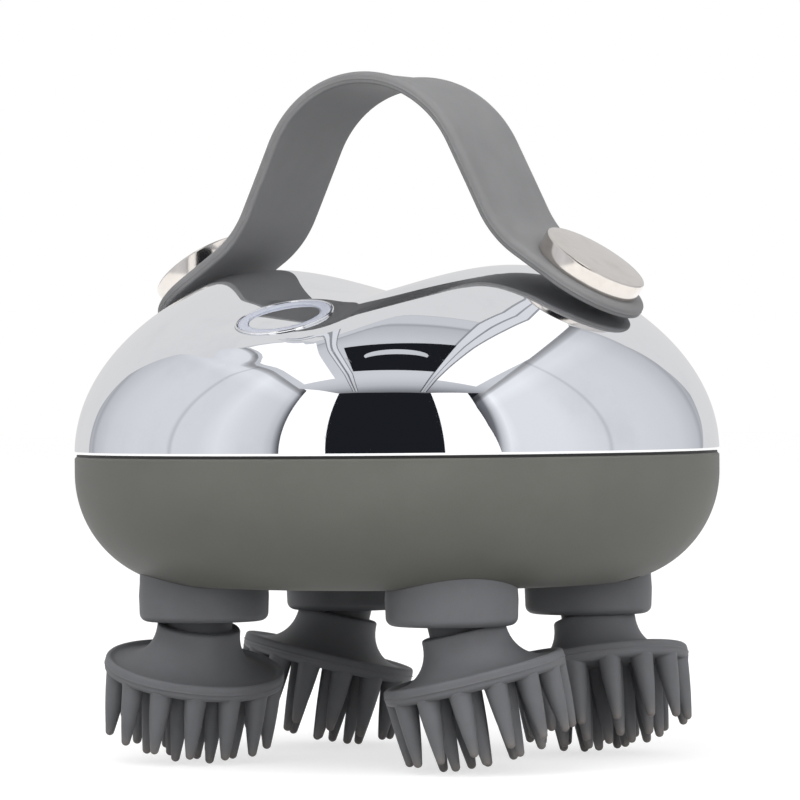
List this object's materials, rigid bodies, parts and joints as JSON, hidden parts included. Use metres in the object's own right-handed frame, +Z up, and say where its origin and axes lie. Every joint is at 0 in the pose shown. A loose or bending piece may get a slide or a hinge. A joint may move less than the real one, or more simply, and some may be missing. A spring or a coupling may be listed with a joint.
{
  "type": "electric scalp massager",
  "caption": "Battery scalp massager: round body with a chromed saddle dome, finger strap, power button and tilted claw heads driven by a gear train.",
  "frame": {"origin": "below the centre of the body, level with the lowest claw tips", "axes": "+Z up, -Y towards the button (front), the strap arches along X"},
  "size_m": [0.11, 0.11, 0.1168],
  "materials": {
    "dome_chrome": "polished chrome plate",
    "base_soft_touch": "soft-touch, fine grain",
    "seal_rubber": "matt",
    "strap_silicone": "matt silicone",
    "disc_nickel": "satin nickel face, polished edge",
    "nut_brass": "plain",
    "button_mirror": "mirror polish",
    "ring_translucent": "translucent lavender grey",
    "frame_bright": "plated rim",
    "board_green": "solder mask",
    "switch_black": "moulded",
    "light_white": "resin",
    "screw_steel": "zinc plated",
    "gearbox_plastic": "glass-filled, moulded",
    "gear_acetal": "moulded acetal",
    "shaft_steel": "ground",
    "bushing_bronze": "sintered bronze",
    "core_plastic": "moulded",
    "head_silicone": "matt silicone",
    "motor_steel": "drawn can",
    "reducer_metal": "sintered",
    "cell_wrap": "shrink wrap over a steel can",
    "insert_plastic": "moulded",
    "contact_gold": "gold plated"
  },
  "bodies": {
    "root": {"top_shell": "dome_chrome", "lower_shell": "base_soft_touch", "seam_gasket": "seal_rubber", "strap": "strap_silicone", "strap_disc_left": "disc_nickel", "strap_disc_right": "disc_nickel", "strap_nuts": "nut_brass", "button_light_ring": "ring_translucent", "button_frame": "frame_bright", "control_board": "board_green", "push_switch": "switch_black", "status_lights": "light_white", "board_screws": "screw_steel", "gearbox_base": "gearbox_plastic", "gearbox_cover": "gearbox_plastic", "gearbox_screws": "screw_steel", "idler_pins": "shaft_steel", "shaft_bushings": "bushing_bronze", "collar_front_left": "head_silicone", "collar_front_right": "head_silicone", "collar_back_left": "head_silicone", "collar_back_right": "head_silicone", "motor": "motor_steel", "reducer": "reducer_metal", "motor_screws": "screw_steel", "battery_cell": "cell_wrap", "battery_cradle": "gearbox_plastic", "charge_insert": "insert_plastic", "charge_contacts": "contact_gold", "housing_screws": "screw_steel"},
    "button": {"power_button": "button_mirror"},
    "central": {"drive_shaft": "shaft_steel", "central_gear": "gear_acetal"},
    "idler_front": {"idler_gear_front": "gear_acetal"},
    "idler_back": {"idler_gear_back": "gear_acetal"},
    "output_front_left": {"output_gear_front_left": "gear_acetal", "crank_front_left": "shaft_steel", "crank_clip_front_left": "screw_steel"},
    "head_front_left": {"head_core_front_left": "core_plastic", "massage_head_front_left": "head_silicone"},
    "output_front_right": {"output_gear_front_right": "gear_acetal", "crank_front_right": "shaft_steel", "crank_clip_front_right": "screw_steel"},
    "head_front_right": {"head_core_front_right": "core_plastic", "massage_head_front_right": "head_silicone"},
    "output_back_left": {"output_gear_back_left": "gear_acetal", "crank_back_left": "shaft_steel", "crank_clip_back_left": "screw_steel"},
    "head_back_left": {"head_core_back_left": "core_plastic", "massage_head_back_left": "head_silicone"},
    "output_back_right": {"output_gear_back_right": "gear_acetal", "crank_back_right": "shaft_steel", "crank_clip_back_right": "screw_steel"},
    "head_back_right": {"head_core_back_right": "core_plastic", "massage_head_back_right": "head_silicone"}
  },
  "joints": [
    {"name": "button_press", "type": "slide", "parent": "root", "child": "button", "axis": [0, 0.342, -0.9397], "range_m": [0, 0.0006], "stiffness_N_per_m": 3000},
    {"name": "central_spin", "type": "hinge", "parent": "root", "child": "central", "pos_m": [0, 0, 0.05228], "axis": [0, 0, 1], "continuous": true},
    {"name": "idler_front_spin", "type": "hinge", "parent": "root", "child": "idler_front", "pos_m": [0.01308, -0.01308, 0.05228], "axis": [0, 0, 1], "continuous": true},
    {"name": "idler_back_spin", "type": "hinge", "parent": "root", "child": "idler_back", "pos_m": [-0.01308, 0.01308, 0.05228], "axis": [0, 0, 1], "continuous": true},
    {"name": "output_front_left_spin", "type": "hinge", "parent": "root", "child": "output_front_left", "pos_m": [-0.02404, -0.02404, 0.03088], "axis": [0, 0, 1], "continuous": true},
    {"name": "head_front_left_sway", "type": "hinge", "parent": "output_front_left", "child": "head_front_left", "pos_m": [-0.02404, -0.02404, 0.03088], "axis": [0.2007, -0.1159, 0.9728], "continuous": true},
    {"name": "output_front_right_spin", "type": "hinge", "parent": "root", "child": "output_front_right", "pos_m": [0.02404, -0.02404, 0.03088], "axis": [0, 0, 1], "continuous": true},
    {"name": "head_front_right_sway", "type": "hinge", "parent": "output_front_right", "child": "head_front_right", "pos_m": [0.02404, -0.02404, 0.03088], "axis": [-0.2007, -0.1159, 0.9728], "continuous": true},
    {"name": "output_back_left_spin", "type": "hinge", "parent": "root", "child": "output_back_left", "pos_m": [-0.02404, 0.02404, 0.03088], "axis": [0, 0, 1], "continuous": true},
    {"name": "head_back_left_sway", "type": "hinge", "parent": "output_back_left", "child": "head_back_left", "pos_m": [-0.02404, 0.02404, 0.03088], "axis": [0.2007, 0.1159, 0.9728], "continuous": true},
    {"name": "output_back_right_spin", "type": "hinge", "parent": "root", "child": "output_back_right", "pos_m": [0.02404, 0.02404, 0.03088], "axis": [0, 0, 1], "continuous": true},
    {"name": "head_back_right_sway", "type": "hinge", "parent": "output_back_right", "child": "head_back_right", "pos_m": [0.02404, 0.02404, 0.03088], "axis": [-0.2007, 0.1159, 0.9728], "continuous": true}
  ],
  "couplings": [
    {"joint": "idler_front_spin", "follows": "central_spin", "ratio": -1.1765},
    {"joint": "idler_back_spin", "follows": "central_spin", "ratio": -1.1765},
    {"joint": "output_front_left_spin", "follows": "central_spin", "ratio": -1.4286},
    {"joint": "head_front_left_sway", "follows": "central_spin", "ratio": 1.4286},
    {"joint": "output_front_right_spin", "follows": "central_spin", "ratio": 1.4286},
    {"joint": "head_front_right_sway", "follows": "central_spin", "ratio": -1.4286},
    {"joint": "output_back_left_spin", "follows": "central_spin", "ratio": 1.4286},
    {"joint": "head_back_left_sway", "follows": "central_spin", "ratio": -1.4286},
    {"joint": "output_back_right_spin", "follows": "central_spin", "ratio": -1.4286},
    {"joint": "head_back_right_sway", "follows": "central_spin", "ratio": 1.4286}
  ]
}
